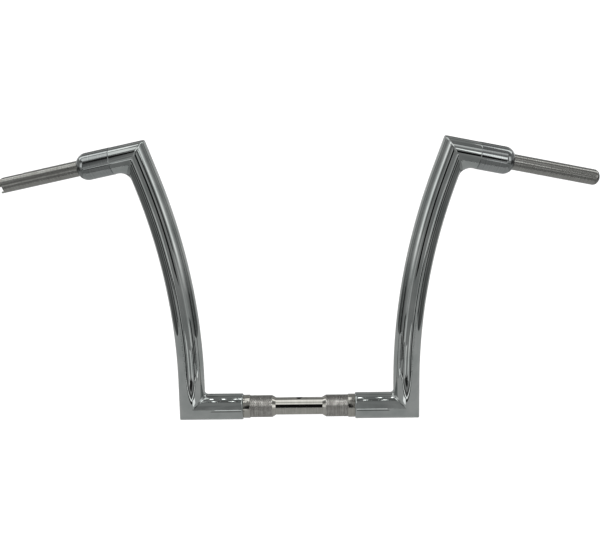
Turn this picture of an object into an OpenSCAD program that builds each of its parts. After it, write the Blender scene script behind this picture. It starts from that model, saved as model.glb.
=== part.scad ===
// Tall motorcycle handlebar of wide tube with mitred corners.
// +Z is up, +Y is towards the rider, and +X is the rider's left.
// The origin is the middle of the bar, on the axis that the clamps hold.

/* [Tubes] */
// Outside diameter of the wide tube
wide_d = 38.1; // [36:0.1:40]
// Wall thickness of the wide tube
wide_wall = 3; // [2.5:0.5:4]
// Outside diameter of the centre tube
centre_d = 25.4; // [24:0.1:26]
// Outside diameter of the grip tubes
grip_d = 22.2; // [20:0.1:23]
// Wall thickness of the centre and grip tubes
thin_wall = 2.5; // [2:0.1:3]

/* [Clamp sleeves] */
// Diameter of the lands that the clamps grip
land_d = 31.75; // [31:0.05:32]
// Length of each land
land_len = 32.3; // [25:0.1:40]
// Length of bare centre tube between the two sleeves
neck_len = 68.4; // [50:0.2:90]
// Length of the sleeve's tapered shoulder
shoulder_len = 5; // [3:0.5:8]
// Diameter of the polished band beside each land
band_d = 34; // [33:0.1:35]
// Width of the polished band
band_len = 10; // [6:0.5:14]
// Depth that a sleeve or collar reaches into the wide tube
spigot_len = 20; // [14:1:22]

/* [Risers] */
// Half the spacing of the lower mitred corners
corner_x = 156.5; // [140:0.5:180]
// Straight length above a lower corner
riser_low = 38; // [30:1:50]
// Radius of the riser's outward bow
bow_r = 890; // [700:5:1100]
// Angle that the bow turns through
bow_angle = 19.8857; // [12:0.0001:24]
// Straight length below an upper corner
riser_high = 32; // [32:1:40]

/* [Corners] */
// Radius of the blend inside a lower corner
low_blend = 4; // [2:0.5:10]
// Radius of the blend inside an upper corner
high_blend = 15; // [8:0.5:17]

/* [Arms] */
// Angle that the tube turns through at an upper corner
elbow_turn = 82.6; // [70:0.1:88]
// Angle that the arms sweep back
sweep = 8; // [0:0.5:20]
// Distance from an upper corner to the collar's seam
seam_at = 35; // [34:0.5:44]
// Diameter of the collar
collar_d = 38.6; // [38.1:0.1:40]
// Straight length of the collar
collar_len = 37.5; // [20:0.5:45]
// Length of the collar's rounded nose
nose_len = 13.5; // [10:0.5:15]
// Distance from an upper corner to a grip tube's end
grip_end_at = 207; // [180:1:240]
// Depth that a grip tube reaches into its collar
grip_seat = 40; // [30:1:50]
// Diameter that the grip tube is turned down to inside the collar
seat_d = 21.6; // [20:0.1:22]

/* [Wiring] */
// Diameter of the wire hole at the middle of the bar
wire_hole_d = 8; // [5:0.5:10]
// Length of the slot in the throttle tube's top
slot_len = 38; // [20:1:50]
// Width of that slot
slot_w = 8; // [5:0.5:9]
// Width of the notches milled across the throttle tube's end
notch_w = 10; // [6:0.5:11]
// Depth of those notches
notch_depth = 5; // [3:0.5:8]
// Angle of the notches below the front of the bar
notch_turn = 30; // [20:1:40]

/* [Hidden] */
$fn = 96;

eps = 0.01;
big = 200;
wide_r = wide_d / 2;
bore_r = wide_r - wide_wall;
centre_r = centre_d / 2;
land_r = land_d / 2;
band_r = band_d / 2;
grip_r = grip_d / 2;
seat_r = seat_d / 2;
collar_r = collar_d / 2;

// Stations along the base, out from the middle
shoulder_x = neck_len / 2;
land_x = shoulder_x + shoulder_len;
band_x = land_x + land_len;
base_x = band_x + band_len;

// Stations along an arm, out from its corner
nose_at = seam_at + collar_len;
tip_at = nose_at + nose_len;
seat_at = tip_at - grip_seat;

// Small roundings and reliefs
shoulder_lip = 0.4;
edge_round = 2;
edge_chamfer = 0.5;
collar_chamfer = 0.6;
mouth_flare = 4;
plug_seat = 15;
plug_height = 9;
plug_edge_r = 7.5;
bend_relief = 0.02;

// Frames of the two corners: +Z is the way that the tube comes in, and it turns towards +X
module low_frame() {
  translate([corner_x, 0, 0]) rotate([0, 90, 0]) rotate([0, 0, 180]) children();
}

module high_frame() {
  bow_frame() rotate([0, 0, bow_angle]) translate([bow_r, riser_high, 0]) rotate([90, 0, 180]) children();
}

// Frame of the bow: +Z is its axis, and it rises from +X towards +Y
module bow_frame() {
  translate([corner_x + bow_r, 0, riser_low]) rotate([90, 0, 180]) children();
}

// Frame of an arm: +Z runs out along it from the corner, and -X is its top
module arm_frame() {
  high_frame() rotate([0, 0, sweep]) rotate([0, elbow_turn, 0]) children();
}

module tube(len, r_out, r_in) {
  difference() {
    cylinder(h = len, r = r_out);
    translate([0, 0, -eps]) cylinder(h = len + 2 * eps, r = r_in);
  }
}

// Solid bend that rounds the inside of a corner, in the corner's frame
module corner_bend(turn, blend) {
  bend_r = wide_r + blend;
  translate([bend_r, 0, -bend_r * tan(turn / 2)]) rotate([90, 0, 0]) rotate([0, 0, 180 - turn])
    rotate_extrude(angle = turn, $fn = 360) translate([bend_r, 0]) circle(wide_r - bend_relief);
}

// One of a corner's two tube ends, in the corner's frame: len from the corner, cut at the mitre plane.
// The tube turns towards +X swung by the angle swing, and after picks the tube that leaves the corner.
module mitred_end(len, turn, blend, after, swing = 0) {
  difference() {
    union() {
      along(turn, after, swing) translate([0, 0, -2 * wide_r]) cylinder(h = len + 2 * wide_r, r = wide_r);
      rotate([0, 0, swing]) corner_bend(turn, blend);
    }
    rotate([0, 0, swing]) rotate([0, turn / 2 + (after ? 180 : 0), 0])
      translate([-big / 2, -big / 2, 0]) cube(big);
    along(turn, after, swing) translate([0, 0, -3 * wide_r]) cylinder(h = big, r = bore_r);
  }
}

// Points +Z from a corner along the tube that leaves it, or back along the one that comes in
module along(turn, after, swing) {
  if (after) rotate([0, 0, swing]) rotate([0, turn, 0]) children();
  else rotate([0, 180, 0]) children();
}

module base_tube() {
  color("lightgray") difference() {
    low_frame() mitred_end(corner_x - base_x, 90, low_blend, false);
    translate([base_x, 0, 0]) rotate([0, 90, 0]) rotate_extrude() end_relief();
  }
}

// What the rounding of the base tube's end takes away
module end_relief() {
  difference() {
    translate([wide_r - edge_round, -eps]) square([2 * edge_round, edge_round + eps]);
    translate([wide_r - edge_round, edge_round]) circle(edge_round);
  }
}

module riser() {
  color("silver") union() {
    low_frame() mitred_end(riser_low, 90, low_blend, true);
    bow_frame() bow();
    high_frame() mitred_end(riser_high, elbow_turn, high_blend, false, sweep);
  }
}

// The bow is turned a little too far, and then cut off square
module bow() {
  difference() {
    rotate_extrude(angle = bow_angle + 1, $fn = 720) translate([bow_r, 0]) difference() {
      circle(wide_r);
      circle(bore_r);
    }
    rotate([0, 0, bow_angle]) translate([bow_r - big / 2, 0, -big / 2]) cube(big);
  }
}

module top_stub() {
  color("lightgray") high_frame() mitred_end(seam_at, elbow_turn, high_blend, true, sweep);
}

module collar() {
  color("gray") arm_frame() rotate_extrude() collar_profile();
}

// Section of the collar: spigot, body and nose, round a bore for the grip tube
module collar_profile() {
  nose_drop = collar_r - grip_r - shoulder_lip;
  nose_r = (nose_len * nose_len + nose_drop * nose_drop) / (2 * nose_drop);
  polygon([
    [seat_r, seam_at - spigot_len],
    [bore_r, seam_at - spigot_len],
    [bore_r, seam_at],
    [collar_r - collar_chamfer, seam_at],
    [collar_r, seam_at + collar_chamfer],
    [collar_r, nose_at],
    [seat_r, nose_at]
  ]);
  intersection() {
    translate([collar_r - nose_r, nose_at]) circle(nose_r, $fn = 180);
    translate([seat_r, nose_at - eps]) square([collar_r - seat_r, nose_len + eps]);
  }
}

// Section of a grip tube, with its seat turned down to enter the collar
module grip_tube() {
  rotate_extrude() polygon([
    [grip_r - thin_wall, seat_at],
    [seat_r, seat_at],
    [seat_r, tip_at],
    [grip_r, tip_at],
    [grip_r, grip_end_at],
    [grip_r - thin_wall, grip_end_at]
  ]);
}

// Slot for the wires along the top of the tube, flared at its mouth
module wire_slot() {
  slot_end = grip_end_at - slot_len + slot_w / 2;
  translate([-grip_r, 0, slot_end]) rotate([0, 90, 0]) cylinder(h = 2 * slot_w, r = slot_w / 2, center = true);
  translate([-grip_r - slot_w, 0, 0]) rotate([90, 0, 90]) linear_extrude(2 * slot_w) polygon([
    [-slot_w / 2, slot_end],
    [slot_w / 2, slot_end],
    [slot_w / 2, grip_end_at - mouth_flare],
    [slot_w / 2 + mouth_flare / 2, grip_end_at + eps],
    [-slot_w / 2 - mouth_flare / 2, grip_end_at + eps],
    [-slot_w / 2, grip_end_at - mouth_flare]
  ]);
}

module throttle_grip_tube() {
  color("darkgray") mirror([1, 0, 0]) arm_frame() difference() {
    grip_tube();
    wire_slot();
    translate([0, 0, grip_end_at - notch_depth]) rotate([0, 0, notch_turn])
      translate([-notch_w / 2, -grip_d / 2 - eps, 0]) cube([notch_w, grip_d + 2 * eps, notch_depth + eps]);
  }
}

module clutch_grip_tube() {
  color("darkgray") arm_frame() grip_tube();
}

// Half section of the plug's dome: a rounded edge under a shallow crown
module dome_profile() {
  edge_at = grip_r - plug_edge_r;
  crown_r = (plug_height * plug_height + edge_at * edge_at - plug_edge_r * plug_edge_r)
    / (2 * (plug_height - plug_edge_r));
  crown_at = plug_height - crown_r;
  intersection() {
    union() {
      translate([edge_at, 0]) circle(plug_edge_r);
      square([edge_at, plug_edge_r]);
      intersection() {
        translate([0, crown_at]) circle(crown_r);
        polygon([[0, crown_at], [2 * edge_at, -crown_at], [20 * edge_at, -19 * crown_at], [0, big]]);
      }
    }
    square([grip_r, plug_height]);
  }
}

module clutch_end_plug() {
  color("gray") arm_frame() translate([0, 0, grip_end_at]) union() {
    rotate_extrude() dome_profile();
    translate([0, 0, -plug_seat]) cylinder(h = plug_seat + eps, r = grip_r - thin_wall);
  }
}

module clamp_sleeve() {
  color("darkkhaki") rotate([0, 90, 0]) rotate_extrude() polygon([
    [centre_r, shoulder_x],
    [centre_r + shoulder_lip, shoulder_x],
    [land_r, land_x],
    [land_r, band_x],
    [band_r - edge_chamfer, band_x],
    [band_r, band_x + edge_chamfer],
    [band_r, base_x - edge_chamfer],
    [band_r - edge_chamfer, base_x],
    [bore_r, base_x],
    [bore_r, base_x + spigot_len],
    [centre_r, base_x + spigot_len]
  ]);
}

module centre_tube() {
  half_len = base_x + spigot_len;
  color("silver") difference() {
    translate([-half_len, 0, 0]) rotate([0, 90, 0]) tube(2 * half_len, centre_r, centre_r - thin_wall);
    cylinder(h = centre_d, r = wire_hole_d / 2);
  }
}

centre_tube();
clamp_sleeve();  // left_clamp_sleeve
mirror([1, 0, 0]) clamp_sleeve();  // right_clamp_sleeve
base_tube();  // left_base_tube
mirror([1, 0, 0]) base_tube();  // right_base_tube
riser();  // left_riser
mirror([1, 0, 0]) riser();  // right_riser
top_stub();  // left_top_stub
mirror([1, 0, 0]) top_stub();  // right_top_stub
collar();  // left_collar
mirror([1, 0, 0]) collar();  // right_collar
throttle_grip_tube();
clutch_grip_tube();
clutch_end_plug();
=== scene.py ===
import math

import bpy
from mathutils import Matrix, Vector


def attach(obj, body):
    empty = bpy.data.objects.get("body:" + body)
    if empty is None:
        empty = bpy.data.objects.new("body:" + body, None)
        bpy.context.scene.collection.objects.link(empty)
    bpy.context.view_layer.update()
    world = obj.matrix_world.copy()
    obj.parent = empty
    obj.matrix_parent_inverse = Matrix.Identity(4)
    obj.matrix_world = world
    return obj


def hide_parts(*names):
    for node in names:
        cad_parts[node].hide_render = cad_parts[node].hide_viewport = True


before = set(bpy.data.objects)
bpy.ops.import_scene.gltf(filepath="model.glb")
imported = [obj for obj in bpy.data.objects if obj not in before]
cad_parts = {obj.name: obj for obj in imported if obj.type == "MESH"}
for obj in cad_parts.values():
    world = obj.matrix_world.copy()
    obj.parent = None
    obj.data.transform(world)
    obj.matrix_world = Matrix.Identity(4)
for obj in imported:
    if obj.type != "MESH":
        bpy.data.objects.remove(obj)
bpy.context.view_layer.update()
print("frame loaded:", len(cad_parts), "nodes")


def linear(hexText):  # an sRGB hex colour as linear red, green, blue and alpha
    parts = [int(hexText[i:i + 2], 16) / 255 for i in (1, 3, 5)]
    return [c / 12.92 if c <= 0.04045 else ((c + 0.055) / 1.055) ** 2.4 for c in parts] + [1.0]


def addNode(tree, kind, links=(), **settings):  # links: each input's value, or the socket that feeds it
    node = tree.nodes.new(kind)
    for name, value in settings.items():
        setattr(node, name, value)
    for key, value in dict(links).items():
        socket = node.inputs[key]
        if isinstance(value, bpy.types.NodeSocket):
            tree.links.new(value, socket)
        else:
            socket.default_value = value
    return node


def between(tree, value, low, high):  # 0 where value is low or less, 1 where it is high or more
    span = addNode(tree, "ShaderNodeMapRange", {"Value": value, "From Min": low, "From Max": high})
    return span.outputs[0]


def meshObject(name, points, faces):  # a smooth mesh as an object in the scene
    mesh = bpy.data.meshes.new(name)
    mesh.from_pydata(points, [], faces)
    mesh.polygons.foreach_set("use_smooth", [True] * len(mesh.polygons))
    mesh.update()
    obj = bpy.data.objects.new(name, mesh)
    bpy.context.scene.collection.objects.link(obj)
    return obj


# Wide bent tubes: base tube, riser and top stub of one side, dressed as one skin with soft corners
wideTube = {
    "radius": 0.01905, "wall": 0.003, "startX": 0.0815, "cornerX": 0.1565,
    "riserLow": 0.038, "bowRadius": 0.890, "bowAngle": 19.8857, "riserHigh": 0.032,
    "elbowTurn": 82.6, "sweep": 8.0, "seamAt": 0.035,
    "lowBlend": 0.004, "lowEdge": 0.0014, "highBlend": 0.015, "highEdge": 0.0026,
    "blendPower": 2.6,  # how fast the inside blend dies away towards the outer corner
    "endRound": 0.002, "endRows": 6, "seamRound": 0.0005, "seamRows": 3,
    "closeRow": 0.0003, "around": 192, "sharpAngle": 35,
    "outRows": {"straight": 5, "corner": 18, "bow": 80},
    "boreRows": {"straight": 2, "corner": 0, "bow": 40},  # the bore turns its corners without a blend
}


def tubeCorners():  # each corner: its point, way in, the side it turns to, turn, blend and edge
    bow, sweep = math.radians(wideTube["bowAngle"]), math.radians(wideTube["sweep"])
    wayIn = Vector((math.sin(bow), 0, math.cos(bow)))
    outward = Vector((math.cos(bow), 0, -math.sin(bow)))
    reach, rise = wideTube["bowRadius"] * (1 - math.cos(bow)), wideTube["bowRadius"] * math.sin(bow)
    low = Vector((wideTube["cornerX"], 0, 0))
    high = low + Vector((reach, 0, wideTube["riserLow"] + rise)) + wideTube["riserHigh"] * wayIn
    side = math.cos(sweep) * outward + math.sin(sweep) * Vector((0, 1, 0))
    turn = math.radians(wideTube["elbowTurn"])
    return [
        (low, Vector((1, 0, 0)), Vector((0, 0, 1)), math.pi / 2, wideTube["lowBlend"], wideTube["lowEdge"]),
        (high, wayIn, side, turn, wideTube["highBlend"], wideTube["highEdge"]),
    ]


def straight(a, b, rows):  # points from a to just short of b; a close row at each end keeps the shading true
    way, length = (b - a).normalized(), (b - a).length
    close = min(wideTube["closeRow"], length / 4)
    places = [close + (length - 2 * close) * row / rows for row in range(rows + 1)]
    return [a] + [a + place * way for place in places]


def passCorner(corner, offset, rounded, rows):  # one line round a corner, and its offset and way after it
    point, wayIn, side, turn, blend, edge = corner
    across = wayIn.cross(side)
    u, v = offset.dot(side), offset.dot(across)
    sideAfter = math.cos(turn) * side - math.sin(turn) * wayIn
    wayOut = math.cos(turn) * wayIn + math.sin(turn) * side
    inner = max(0.0, u / offset.length)
    fillet = edge + blend * inner ** wideTube["blendPower"] if rounded else 0.0
    mitre = point + v * across + u * side - u * math.tan(turn / 2) * wayIn
    start = mitre - fillet * math.tan(turn / 2) * wayIn
    line = []
    for row in range(rows + 1):
        angle = turn * row / max(rows, 1)
        line.append(start + fillet * (1 - math.cos(angle)) * side + fillet * math.sin(angle) * wayIn)
    return line, u * sideAfter + v * across, wayOut


def tubeLine(angle, radius, rounded, rows):  # one lengthwise line, from the base's end to the seam
    low, high = tubeCorners()
    offset = radius * (math.cos(angle) * low[2] + math.sin(angle) * Vector((0, 1, 0)))
    first = Vector((wideTube["startX"], 0, 0)) + offset
    bend, offset, way = passCorner(low, offset, rounded, rows["corner"])
    points = straight(first, bend[0], rows["straight"]) + bend
    bowStart = low[0] + wideTube["riserLow"] * way + offset
    points += straight(bend[-1], bowStart, rows["straight"])[1:]
    centre = low[0] + Vector((wideTube["bowRadius"], 0, wideTube["riserLow"]))
    for row in range(rows["bow"] + 1):
        spin = Matrix.Rotation(math.radians(wideTube["bowAngle"]) * row / rows["bow"], 3, "Y")
        points.append(centre + spin @ (bowStart - centre))
    offset = spin @ offset
    bend, offset, way = passCorner(high, offset, rounded, rows["corner"])
    points += straight(points[-1], bend[0], rows["straight"])[1:] + bend
    last = high[0] + wideTube["seamAt"] * way + offset
    return points + straight(bend[-1], last, rows["straight"])[1:] + [last]


def curl(edge, centre, inwardWay, radius, rows):  # a quarter round from the end face to the tube's side
    outward = (edge - centre).normalized()
    middle = edge - radius * outward + radius * inwardWay
    angles = [math.pi / 2 * row / rows for row in range(rows + 1)]
    return [middle + radius * math.sin(a) * outward - radius * math.cos(a) * inwardWay for a in angles]


def roundEnds(line):  # the line with a quarter round, and a close row behind it, in place of each end
    high = tubeCorners()[1]
    wayOut = math.cos(high[3]) * high[1] + math.sin(high[3]) * high[2]
    baseCentre = Vector((wideTube["startX"], 0, 0))
    seamCentre = high[0] + wideTube["seamAt"] * wayOut
    startCurl = curl(line[0], baseCentre, Vector((1, 0, 0)), wideTube["endRound"], wideTube["endRows"])
    endCurl = curl(line[-1], seamCentre, -wayOut, wideTube["seamRound"], wideTube["seamRows"])
    afterCurl = startCurl[-1] + Vector((wideTube["closeRow"], 0, 0))
    beforeCurl = endCurl[-1] - wideTube["closeRow"] * wayOut
    return startCurl + [afterCurl] + line[2:-2] + [beforeCurl] + endCurl[::-1]


def wideTubeMesh(name, mirrored):  # outer skin and bore as one closed shell
    around = wideTube["around"]
    columns = []
    for k in range(around):
        angle = 2 * math.pi * k / around
        outer = roundEnds(tubeLine(angle, wideTube["radius"], True, wideTube["outRows"]))
        bore = tubeLine(angle, wideTube["radius"] - wideTube["wall"], False, wideTube["boreRows"])
        columns.append(outer + bore[::-1])
    count = len(columns[0])
    flip = -1 if mirrored else 1
    points = [(flip * p.x, p.y, p.z) for column in columns for p in column]
    faces = []
    for k in range(around):
        a, b = k * count, (k + 1) % around * count
        for row in range(count):
            up = (row + 1) % count
            face = (a + row, b + row, b + up, a + up)
            faces.append(face if mirrored else face[::-1])
    obj = meshObject(name, points, faces)
    obj.data.set_sharp_from_angle(angle=math.radians(wideTube["sharpAngle"]))
    return obj


leftTube = wideTubeMesh("leftWideTube", False)
rightTube = wideTubeMesh("rightWideTube", True)
for tubeObject, sideName in ((leftTube, "left"), (rightTube, "right")):
    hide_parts(sideName + "_base_tube", sideName + "_riser", sideName + "_top_stub")
    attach(tubeObject, "root")
print("wide tubes made:", len(leftTube.data.polygons), "faces each")


# Knurled lands: pads are drawn a little coarser than the real 1.2 mm knurl, so that they show
knurl = {
    "radius": 0.015875, "startX": 0.0400, "endX": 0.0709,
    "pitch": 0.0015, "height": 0.00022, "tip": 0.00012, "sink": 0.00002, "padSides": 4,
}


def knurlTree():  # pointed pads in staggered rows round a land
    tree = bpy.data.node_groups.new("diamondKnurl", "GeometryNodeTree")
    face = tree.interface
    face.new_socket("Geometry", in_out="INPUT", socket_type="NodeSocketGeometry")
    for label in ("Radius", "Start", "Length", "Height", "Tip"):
        face.new_socket(label, in_out="INPUT", socket_type="NodeSocketFloat")
    for label in ("Columns", "Rows"):
        face.new_socket(label, in_out="INPUT", socket_type="NodeSocketInt")
    face.new_socket("Material", in_out="INPUT", socket_type="NodeSocketMaterial")
    face.new_socket("Geometry", in_out="OUTPUT", socket_type="NodeSocketGeometry")
    given = tree.nodes.new("NodeGroupInput").outputs

    def maths(operation, a, b=0.0):
        return addNode(tree, "ShaderNodeMath", {0: a, 1: b}, operation=operation).outputs[0]

    def spot(x, y, z):
        return addNode(tree, "ShaderNodeCombineXYZ", {0: x, 1: y, 2: z}).outputs[0]

    total = maths("MULTIPLY", given["Columns"], given["Rows"])
    line = addNode(tree, "GeometryNodeMeshLine", {"Count": total})
    index = tree.nodes.new("GeometryNodeInputIndex").outputs[0]
    # half is added so that rounding can't put a row's first pad in the row before
    row = maths("FLOOR", maths("DIVIDE", maths("ADD", index, 0.5), given["Columns"]))
    column = maths("SUBTRACT", index, maths("MULTIPLY", row, given["Columns"]))
    stagger = maths("MULTIPLY", maths("MODULO", row, 2.0), 0.5)  # each second row is half a pad on
    share = maths("DIVIDE", maths("ADD", column, stagger), given["Columns"])
    turn = maths("MULTIPLY", share, 2 * math.pi)
    step = maths("DIVIDE", given["Length"], maths("SUBTRACT", given["Rows"], 1.0))
    along = maths("ADD", maths("MULTIPLY", row, step), given["Start"])
    cosTurn, sinTurn = maths("COSINE", turn), maths("SINE", turn)
    outward = spot(0.0, sinTurn, cosTurn)
    y = maths("MULTIPLY", sinTurn, given["Radius"])
    z = maths("MULTIPLY", cosTurn, given["Radius"])
    place = spot(along, y, z)
    placed = addNode(tree, "GeometryNodeSetPosition", {"Geometry": line.outputs[0], "Position": place})
    aimed = addNode(tree, "FunctionNodeAxesToRotation", {
        "Primary Axis": outward, "Secondary Axis": (1.0, 0.0, 0.0),
    }, primary_axis="Z", secondary_axis="X")
    pad = addNode(tree, "GeometryNodeMeshCone", {
        "Vertices": knurl["padSides"], "Depth": given["Height"],
        "Radius Top": given["Tip"], "Radius Bottom": step,
    })
    pads = addNode(tree, "GeometryNodeInstanceOnPoints", {
        "Points": placed.outputs[0], "Instance": pad.outputs[0], "Rotation": aimed.outputs[0],
    })
    real = addNode(tree, "GeometryNodeRealizeInstances", {"Geometry": pads.outputs[0]})
    done = addNode(tree, "GeometryNodeSetMaterial", {
        "Geometry": real.outputs[0], "Material": given["Material"],
    })
    out = tree.nodes.new("NodeGroupOutput")
    tree.links.new(done.outputs[0], out.inputs[0])
    return tree


def bakeNodes(name, tree, values):  # the mesh that a node tree makes with these inputs, as a plain object
    start = bpy.data.objects.new(name, bpy.data.meshes.new(name))
    bpy.context.scene.collection.objects.link(start)
    modifier = start.modifiers.new("shape", "NODES")
    modifier.node_group = tree
    for item in tree.interface.items_tree:
        if item.in_out == "INPUT" and item.name in values:
            modifier[item.identifier] = values[item.name]
    graph = bpy.context.evaluated_depsgraph_get()
    mesh = bpy.data.meshes.new_from_object(start.evaluated_get(graph))
    start.modifiers.clear()
    start.data = mesh
    mesh.name = name
    return start


def knurledLand(name, mirrored, material):  # a pad is two pitches wide, from corner to corner
    length = knurl["endX"] - knurl["startX"]
    return bakeNodes(name, knurlNodes, {
        "Radius": knurl["radius"] - knurl["sink"], "Start": -knurl["endX"] if mirrored else knurl["startX"],
        "Length": length, "Height": knurl["height"], "Tip": knurl["tip"],
        "Columns": int(2 * math.pi * knurl["radius"] / (knurl["pitch"] * 2)),
        "Rows": int(length / knurl["pitch"]) + 1, "Material": material,
    })


# Metals. Sizes are in metres: patch is a cloud of haze, ripple a slow wave, ring a turning mark
# and grain the finest roughness
metals = {
    # Decorative chrome on buffed steel: a cold mirror with faint clouds of haze,
    # and long waves that the buffing wheel leaves along the tube
    "brightChrome": {
        "clean": "#C6C9C8", "dull": "#B3B8B7", "gloss": 0.012, "haze": 0.04, "patch": 0.035,
        "ripple": 0.016, "rippleDepth": 0.000030, "stretch": (1.0, 1.0, 0.35),
        "grain": 0.0008, "grainDepth": 0.0000004,
    },
    # The same chrome on a turned collar: rings left by turning show faintly in the mirror
    "collarChrome": {
        "clean": "#B4B7B7", "dull": "#9FA3A4", "gloss": 0.04, "haze": 0.09, "patch": 0.022,
        "ripple": 0.012, "rippleDepth": 0.000014, "grain": 0.0008, "grainDepth": 0.0000006,
        "ring": 0.0022, "ringDepth": 0.0000015,
    },
    # Polished steel: warmer than chrome and a little softer, with turning rings across it
    "polishedSteel": {
        "clean": "#CDCBC5", "dull": "#B3B1AA", "gloss": 0.02, "haze": 0.055, "patch": 0.012,
        "ripple": 0.010, "rippleDepth": 0.000010, "grain": 0.0007, "grainDepth": 0.0000008,
        "ring": 0.0016, "ringDepth": 0.0000007, "way": (1.0, 0.0, 0.0),
    },
    # Brushed steel tube: an emery belt leaves rings round it.
    # Real ones are 0.2 mm apart, and these are drawn coarser so that they show
    "brushedSteel": {
        "clean": "#B2B2AF", "dull": "#9C9B97", "gloss": 0.14, "haze": 0.24, "patch": 0.018,
        "ripple": 0.014, "rippleDepth": 0.000012, "grain": 0.0012, "grainDepth": 0.0000008,
        "ring": 0.0019, "ringDepth": 0.0000007,
    },
    # Pressed knurling: the tips are bright and the valleys dull, so from afar it is a soft grey
    "knurledSteel": {
        "clean": "#C2C0BC", "dull": "#8E8B87", "gloss": 0.16, "haze": 0.30, "patch": 0.007,
        "ripple": 0.006, "rippleDepth": 0.000010, "grain": 0.0010, "grainDepth": 0.0000050,
        "ring": 0.0024, "ringDepth": 0.0000080, "way": (1.0, 0.0, 0.0),
    },
}
armWay = (0.967275, 0.138014, -0.212913)  # from the top corner along the arm, on the side where x is positive
# What the metals share: the detail of each noise, the noise at which haze starts and is full,
# and the rings' share of the haze
pattern = {
    "cloudDetail": 4.0, "waveDetail": 1.0, "grainDetail": 2.0, "ringDetail": 3.0,
    "cloudFrom": 0.35, "cloudTo": 0.7, "ringFrom": 0.35, "ringTo": 0.65, "ringShare": 0.45,
}


def metal(name):  # haze in clouds, slow waves, a fine grain and, on turned or brushed pieces, rings
    look = metals[name]
    material = bpy.data.materials.new(name)
    material.use_nodes = True
    tree = material.node_tree
    shader = tree.nodes["Principled BSDF"]
    shader.inputs["Metallic"].default_value = 1.0
    place = addNode(tree, "ShaderNodeTexCoord").outputs["Object"]

    def noise(vector, size, detail):
        texture = addNode(tree, "ShaderNodeTexNoise", {"Vector": vector, "Scale": 1 / size, "Detail": detail})
        return texture.outputs["Fac"]

    cloud = noise(place, look["patch"], pattern["cloudDetail"])
    amount = between(tree, cloud, pattern["cloudFrom"], pattern["cloudTo"])
    stretch = look.get("stretch", (1.0, 1.0, 1.0))
    long = addNode(tree, "ShaderNodeMapping", {"Vector": place, "Scale": stretch}).outputs[0]
    slow = noise(long, look["ripple"], pattern["waveDetail"])
    fine = noise(place, look["grain"], pattern["grainDetail"])
    wave = addNode(tree, "ShaderNodeBump", {"Height": slow, "Distance": look["rippleDepth"]})
    bump = addNode(tree, "ShaderNodeBump", {
        "Height": fine, "Distance": look["grainDepth"], "Normal": wave.outputs[0],
    })
    if "ring" in look:  # rings round the piece, by the distance along it; both sides share them
        x, y, z = addNode(tree, "ShaderNodeSeparateXYZ", {0: place}).outputs
        mirroredX = addNode(tree, "ShaderNodeMath", {0: x}, operation="ABSOLUTE").outputs[0]
        spot = addNode(tree, "ShaderNodeCombineXYZ", {0: mirroredX, 1: y, 2: z}).outputs[0]
        along = addNode(tree, "ShaderNodeVectorMath", {
            0: spot, 1: look.get("way", armWay),
        }, operation="DOT_PRODUCT")
        rings = addNode(tree, "ShaderNodeTexNoise", {
            "W": along.outputs["Value"], "Scale": 1 / look["ring"], "Detail": pattern["ringDetail"],
        }, noise_dimensions="1D").outputs["Fac"]
        ringTone = between(tree, rings, pattern["ringFrom"], pattern["ringTo"])
        amount = addNode(tree, "ShaderNodeMix", {
            0: pattern["ringShare"], 2: amount, 3: ringTone,
        }, data_type="FLOAT").outputs[0]
        bump = addNode(tree, "ShaderNodeBump", {
            "Height": rings, "Distance": look["ringDepth"], "Normal": bump.outputs[0],
        })
    tone = addNode(tree, "ShaderNodeMix", {
        0: amount, 6: linear(look["clean"]), 7: linear(look["dull"]),
    }, data_type="RGBA")
    gloss = addNode(tree, "ShaderNodeMapRange", {
        "Value": amount, "To Min": look["gloss"], "To Max": look["haze"],
    })
    tree.links.new(tone.outputs[2], shader.inputs["Base Color"])
    tree.links.new(gloss.outputs[0], shader.inputs["Roughness"])
    tree.links.new(bump.outputs[0], shader.inputs["Normal"])
    return material


finishes = {
    "centre_tube": "polishedSteel",
    "left_clamp_sleeve": "polishedSteel", "right_clamp_sleeve": "polishedSteel",
    "left_collar": "collarChrome", "right_collar": "collarChrome",
    "throttle_grip_tube": "brushedSteel",
    "clutch_grip_tube": "brushedSteel", "clutch_end_plug": "brushedSteel",
}
made = {name: metal(name) for name in metals}
for nodeName, finish in finishes.items():
    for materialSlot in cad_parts[nodeName].material_slots:
        materialSlot.link = "OBJECT"
        materialSlot.material = made[finish]
for tubeObject in (leftTube, rightTube):
    tubeObject.data.materials.append(made["brightChrome"])
print("metals made:", len(made))

knurlNodes = knurlTree()
for landName, mirrored in (("leftKnurl", False), ("rightKnurl", True)):
    land = knurledLand(landName, mirrored, made["knurledSteel"])
    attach(land, "root")
print("knurls made:", len(land.data.polygons), "faces each")


# The studio. Chrome shows only what it reflects, so each thing round it is given
# by the grey that it shows on the bar
chrome = {"returns": 0.56, "tint": (1.0, 1.01, 1.0)}  # the share of light it sends back, and its cold cast


def seen(tone):  # the light that chrome must meet to show this grey, from 0 to 255
    level = linear("#%02X%02X%02X" % (tone, tone, tone))[0] / chrome["returns"]
    return [level * part for part in chrome["tint"]] + [1.0]


studio = {
    "floorZ": -0.35, "halfWidth": 6.0, "front": -4.0, "back": 2.2, "roll": 1.2, "rollRows": 12, "top": 5.0,
    "floorColour": "#F8F8F8", "floorRoughness": 0.9, "softLight": 1.3,
}


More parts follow.
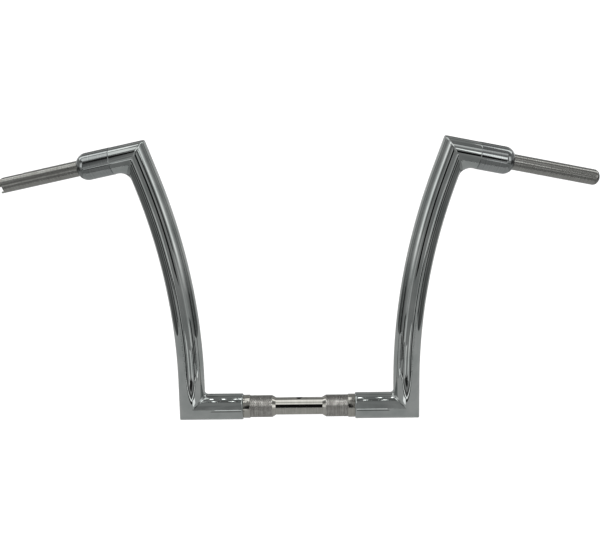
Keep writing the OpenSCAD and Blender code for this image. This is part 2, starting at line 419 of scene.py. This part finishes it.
def studioFloor():  # a pale floor that rolls up into a backdrop
    back, roll, rows = studio["back"], studio["roll"], studio["rollRows"]
    turns = [math.pi / 2 * row / rows for row in range(rows + 1)]
    curve = [(back + roll * math.sin(a), roll * (1 - math.cos(a))) for a in turns]
    profile = [(studio["front"], 0.0)] + curve + [(back + roll, studio["top"])]
    sides = (-studio["halfWidth"], studio["halfWidth"])
    points = [(x, y, z + studio["floorZ"]) for y, z in profile for x in sides]
    faces = [(2 * k, 2 * k + 1, 2 * k + 3, 2 * k + 2) for k in range(len(profile) - 1)]
    floor = meshObject("studioFloor", points, faces)
    material = bpy.data.materials.new("paleFloor")  # matt painted card: an even white without any shine
    material.use_nodes = True
    shader = material.node_tree.nodes["Principled BSDF"]
    shader.inputs["Base Color"].default_value = linear(studio["floorColour"])
    shader.inputs["Roughness"].default_value = studio["floorRoughness"]
    floor.data.materials.append(material)
    floor.visible_glossy = False


def glowPanel(name, corners, tone, strength=1.0):  # a flat panel that only shows in reflections
    panel = meshObject(name, corners, [tuple(range(len(corners)))])
    material = bpy.data.materials.new(name)
    material.use_nodes = True
    tree = material.node_tree
    tree.nodes.clear()
    glow = addNode(tree, "ShaderNodeEmission", {"Color": seen(tone), "Strength": strength})
    addNode(tree, "ShaderNodeOutputMaterial", {"Surface": glow.outputs[0]})
    panel.data.materials.append(material)
    panel.visible_camera = panel.visible_diffuse = panel.visible_shadow = False


def flat(x0, x1, y0, y1, z):  # the corners of a level panel
    return [(x0, y0, z), (x1, y0, z), (x1, y1, z), (x0, y1, z)]


# The bench under the bar: its front draws back from each riser,
# and has a dark lip, then a bright edge and a dark gap
bench = {
    "halfWidth": 0.56, "front": -0.136, "back": 0.60, "height": -0.032, "slant": 0.30, "tone": 133,
    "bands": [(0.0, 0.014, 40), (0.014, 0.024, 215), (0.024, 0.046, 58)],
    "stripIn": 0.0835, "stripOut": 0.134, "stripLift": 0.0006,
    # the dark strip is a painted shadow: it stands for the base tube's shadow on the bench, seen in the
    # chrome
    "strips": [(-0.150, -0.122, 224), (-0.083, -0.066, 60)],  # a bright and a dark one under each base tube
}


def benchFront(offset):  # the points of a line that runs this far in front of the bench's edge
    w, corner = bench["halfWidth"], wideTube["cornerX"]
    front, slant = bench["front"] - offset, bench["slant"]
    return [(x, front - slant * abs(abs(x) - corner), bench["height"]) for x in (-w, -corner, 0.0, corner, w)]


def layBench():  # the top, the bands along its front, and the stripes under the base tubes
    w, back, z = bench["halfWidth"], bench["back"], bench["height"]
    inner, outer = bench["stripIn"], bench["stripOut"]
    glowPanel("benchTop", benchFront(0.0) + [(w, back, z), (-w, back, z)], bench["tone"])
    for k, (near, far, tone) in enumerate(bench["bands"]):
        glowPanel("benchBand%d" % k, benchFront(far) + benchFront(near)[::-1], tone)
    # strips: a bright one, and a dark one that is a painted shadow of the base tube on the bench
    for k, (y0, y1, tone) in enumerate(bench["strips"]):
        for sideName, x0, x1 in (("Left", -outer, -inner), ("Right", inner, outer)):
            glowPanel("strip%s%d" % (sideName, k), flat(x0, x1, y0, y1, z + bench["stripLift"]), tone)


# Lamp tubes on the ceiling run front to back. A row has its places across, its front, its back and a grey
lamps = {
    "height": 1.5, "halfWidth": 0.0042, "strength": 2.6,
    "rows": [
        ([-0.276, -0.243, -0.210, -0.196, 0.130, 0.186, 0.218], -0.17, 0.01, 255),
        ([-0.286, -0.233, -0.198, 0.150, 0.205], -0.82, -0.68, 255),
    ],
}
# Pale cards over the middle of the bar and the dark front that only the middle pieces face
cards = {
    "left": -0.186, "right": 0.106, "height": 1.5,
    "bands": [(-1.80, -1.05, 215), (-1.05, -0.42, 168), (-0.42, 0.40, 222)],
    "frontLeft": -0.189, "frontRight": 0.112, "frontY": -1.5,
    "frontLow": -0.10, "frontHigh": 1.09, "frontTone": 12,
}


def hangLights():  # the lamp tubes, the cards and the dark front
    for row, (places, y0, y1, tone) in enumerate(lamps["rows"]):
        for k, x in enumerate(places):
            corners = flat(x - lamps["halfWidth"], x + lamps["halfWidth"], y0, y1, lamps["height"])
            glowPanel("lamp%d%d" % (row, k), corners, tone, lamps["strength"])
    for k, (y0, y1, tone) in enumerate(cards["bands"]):
        glowPanel("card%d" % k, flat(cards["left"], cards["right"], y0, y1, cards["height"]), tone)
    x0, x1, y = cards["frontLeft"], cards["frontRight"], cards["frontY"]
    z0, z1 = cards["frontLow"], cards["frontHigh"]
    glowPanel("darkFront", [(x0, y, z0), (x1, y, z0), (x1, y, z1), (x0, y, z1)], cards["frontTone"])


# Things round the room, as the bar sees them: the turns where each starts and ends, with plus to the right,
# then the lifts where it starts and ends, all in degrees, and its grey
posts = {
    "distance": 3.0, "riserEye": (0.17, 0.15), "armEye": (0.27, 0.36),
    "byRisers": [  # as the right riser sees them; the left one sees the same, mirrored
        (24, 30, -18, -12.5, 178), (56, 66, -21, -14, 40), (3, 9, -20.5, -17, 160),
        (-20, -15, -20, -16.5, 185), (-40, -32, -21, -15, 30), (-53, -44, -17, -10, 36),
        (78, 92, -14, -4, 34), (-9, 9, -20.7, -19.9, 26),
    ],
    "byLeftArm": [
        (-88, -52, 41, 58, 200), (-46, -36, 24, 38, 22), (-66, -26, 64, 70, 185), (-30, -10, 30, 62, 255),
    ],
    "byRightArm": [
        (41, 58, 40, 51, 170), (29, 35, 10, 25, 245), (22, 28, -6, 8, 14), (26, 66, 66, 72, 185),
        (10, 30, 32, 64, 255),
    ],
    "behind": [
        (98, 120, 30, 58, 235), (-120, -98, 30, 58, 235), (150, 166, 56, 68, 30), (-166, -150, 56, 68, 30),
    ],
}


def standPost(name, eye, turn0, turn1, lift0, lift1, tone):  # eye: where it is seen from, in the plane y = 0
    corners = []
    for turn, lift in ((turn0, lift0), (turn1, lift0), (turn1, lift1), (turn0, lift1)):
        t, rise = math.radians(turn), math.tan(math.radians(lift))
        corner = Vector((math.sin(t), -math.cos(t), rise)) * posts["distance"]
        corners.append(tuple(corner + Vector((eye[0], 0, eye[1]))))
    glowPanel(name, corners, tone)


def standPosts():
    x, z = posts["riserEye"]
    armX, armZ = posts["armEye"]
    for k, (turn0, turn1, lift0, lift1, tone) in enumerate(posts["byRisers"]):
        standPost("postLeft%d" % k, (-x, z), -turn1, -turn0, lift0, lift1, tone)
        standPost("postRight%d" % k, (x, z), turn0, turn1, lift0, lift1, tone)
    for side, eye in (("byLeftArm", (-armX, armZ)), ("byRightArm", (armX, armZ)), ("behind", (0.0, z))):
        for k, place in enumerate(posts[side]):
            standPost("%s%d" % (side, k), eye, *place)


# The greys of the room itself, each at an angle in degrees
room = {
    # overhead and underfoot, by pitch round the bar's long axis:
    # 0 is the front horizon, 90 straight up, -90 straight down and 180 behind
    "pitch": [
        (-180, 95), (-158, 150), (-142, 70), (-120, 120), (-60, 100), (-30, 100), (0, 110), (50, 110),
        (56, 85), (66, 75), (76, 100), (92, 95), (112, 120), (124, 85), (140, 135), (150, 80),
        (164, 150), (180, 95),
    ],
    # near the horizon, by turn away from the front: what is above it and what is below it
    "above": [
        (0, 105), (12, 95), (18, 150), (22, 105), (30, 100), (36, 80), (42, 85), (48, 170), (54, 225),
        (60, 190), (70, 135), (84, 105), (96, 95), (108, 125), (118, 65), (130, 170), (140, 90),
        (150, 205), (158, 105), (166, 60), (180, 130),
    ],
    "below": [
        (0, 105), (22, 105), (30, 145), (38, 125), (46, 130), (54, 110), (62, 110), (70, 95), (79, 40),
        (90, 50), (100, 75), (112, 55), (124, 85), (131, 160), (138, 65), (147, 195), (154, 110),
        (163, 60), (172, 130), (180, 95),
    ],
    "belowEnds": -6.0, "aboveStarts": 1.0,  # lifts between which below turns into above
    "bandEnds": 20.0, "pitchStarts": 32.0,  # lifts, up or down, between which those two turn into pitch
    # streaks: a noise by turn, from streakFrom to streakTo, that makes the band darker or brighter
    "streaks": 24.0, "streakDetail": 5.0, "streakFrom": 0.3, "streakTo": 0.7,
    "streakLow": 0.55, "streakHigh": 1.45,
}


def toneRamp(tree, value, stops, low, high):  # the grey at this angle, from stops between low and high
    ramp = addNode(tree, "ShaderNodeValToRGB", {"Fac": between(tree, value, low, high)})
    bands = ramp.color_ramp.elements
    while len(bands) < len(stops):
        bands.new(0.5)
    for k, (at, tone) in enumerate(stops):
        bands[k].position = (at - low) / (high - low)
        bands[k].color = seen(tone)
    return ramp.outputs[0]


def roomLight():  # white to the camera and for soft light; the chrome sees a grey workshop all round
    world = bpy.data.worlds.new("studioRoom")
    bpy.context.scene.world = world
    world.use_nodes = True
    tree = world.node_tree
    tree.nodes.clear()

    def maths(operation, a, b=0.0):
        return addNode(tree, "ShaderNodeMath", {0: a, 1: b}, operation=operation).outputs[0]

    def blend(share, first, second):
        return addNode(tree, "ShaderNodeMix", {0: share, 6: first, 7: second}, data_type="RGBA").outputs[2]

    degrees = 180 / math.pi
    way = addNode(tree, "ShaderNodeTexCoord").outputs["Generated"]
    x, y, z = addNode(tree, "ShaderNodeSeparateXYZ", {0: way}).outputs[:3]
    ahead = maths("MULTIPLY", y, -1.0)
    side = maths("ARCTAN2", x, ahead)
    pitch = maths("MULTIPLY", maths("ARCTAN2", z, ahead), degrees)
    turn = maths("MULTIPLY", maths("ABSOLUTE", side), degrees)
    lift = maths("MULTIPLY", maths("ARCSINE", z), degrees)
    streaks = addNode(tree, "ShaderNodeTexNoise", {
        "W": maths("MULTIPLY", side, room["streaks"]), "Scale": 1.0, "Detail": room["streakDetail"],
    }, noise_dimensions="1D").outputs[0]
    streak = addNode(tree, "ShaderNodeMapRange", {
        "Value": streaks, "From Min": room["streakFrom"], "From Max": room["streakTo"],
        "To Min": room["streakLow"], "To Max": room["streakHigh"],
    }).outputs[0]
    over = toneRamp(tree, pitch, room["pitch"], -180, 180)
    above = toneRamp(tree, turn, room["above"], 0, 180)
    below = toneRamp(tree, turn, room["below"], 0, 180)
    band = blend(between(tree, lift, room["belowEnds"], room["aboveStarts"]), below, above)
    streaked = addNode(tree, "ShaderNodeVectorMath", {0: band, "Scale": streak}, operation="SCALE").outputs[0]
    away = between(tree, maths("ABSOLUTE", lift), room["bandEnds"], room["pitchStarts"])
    tone = blend(away, streaked, over)
    grey = addNode(tree, "ShaderNodeBackground", {"Color": tone, "Strength": 1.0})
    white = addNode(tree, "ShaderNodeBackground", {"Color": (1, 1, 1, 1), "Strength": studio["softLight"]})
    path = addNode(tree, "ShaderNodeLightPath").outputs["Is Glossy Ray"]
    mix = addNode(tree, "ShaderNodeMixShader", {0: path, 1: white.outputs[0], 2: grey.outputs[0]})
    addNode(tree, "ShaderNodeOutputWorld", {"Surface": mix.outputs[0]})
    bpy.context.scene.view_settings.view_transform = "Standard"  # so that white stays white


# The photograph's view: angles in degrees, distance and clips in metres,
# and the focal length in pixels of a picture pictureWidth pixels wide
cameraFit = {
    "distance": 1.6985, "azimuth": -1.492, "elevation": 19.926, "aimAzimuth": -1.328, "aimDown": 13.705,
    "roll": -1.054, "focal": 1153.0, "pictureWidth": 600, "sensor": 36.0, "clipStart": 0.01, "clipEnd": 50.0,
}


def heading(azimuth, down):  # the way that a view looks: azimuth from +Y, and how far below level
    a, e = math.radians(azimuth), math.radians(down)
    return Vector((math.sin(a) * math.cos(e), math.cos(a) * math.cos(e), -math.sin(e)))


def addCamera():
    data = bpy.data.cameras.new("camera")
    camera = bpy.data.objects.new("camera", data)
    bpy.context.scene.collection.objects.link(camera)
    camera.location = -cameraFit["distance"] * heading(cameraFit["azimuth"], cameraFit["elevation"])
    forward = heading(cameraFit["aimAzimuth"], cameraFit["aimDown"])
    right = forward.cross(Vector((0, 0, 1))).normalized()
    up = right.cross(forward)
    c, s = math.cos(math.radians(cameraFit["roll"])), math.sin(math.radians(cameraFit["roll"]))
    right, up = c * right + s * up, -s * right + c * up
    camera.rotation_mode = "QUATERNION"
    camera.rotation_quaternion = Matrix((right, up, -forward)).transposed().to_quaternion()
    data.sensor_width = cameraFit["sensor"]
    data.lens = cameraFit["focal"] * cameraFit["sensor"] / cameraFit["pictureWidth"]
    data.clip_start, data.clip_end = cameraFit["clipStart"], cameraFit["clipEnd"]
    bpy.context.scene.camera = camera


studioFloor()
layBench()
standPosts()
hangLights()
roomLight()
addCamera()
print("studio ready")
